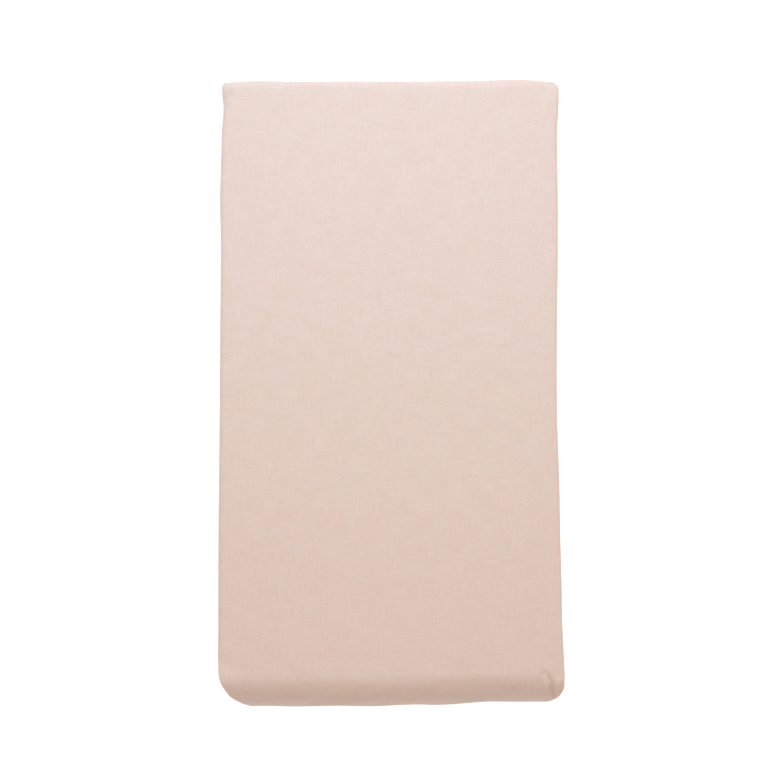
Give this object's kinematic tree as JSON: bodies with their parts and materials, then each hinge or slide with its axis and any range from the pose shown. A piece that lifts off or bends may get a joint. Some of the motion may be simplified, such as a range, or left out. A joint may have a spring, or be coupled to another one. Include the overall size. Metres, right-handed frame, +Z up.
{
  "type": "folded flat sheet",
  "caption": "Cotton flat bed sheet folded into a long flat packet: a band of cloth runs back and forth, with a big rounded fold at the near end and smaller folds at the far end.",
  "frame": {"origin": "under the middle of the packet's box, on the surface that it lies on", "axes": "+X across the packet, +Y along it from the big near fold towards the far folds, +Z up"},
  "size_m": [0.2016, 0.3704, 0.0249],
  "materials": {
    "cotton": "plain-woven cotton, matt, pale dusty pink, with fine slubs along both yarn directions"
  },
  "bodies": {
    "root": {"folded_sheet": "cotton"}
  },
  "joints": []
}
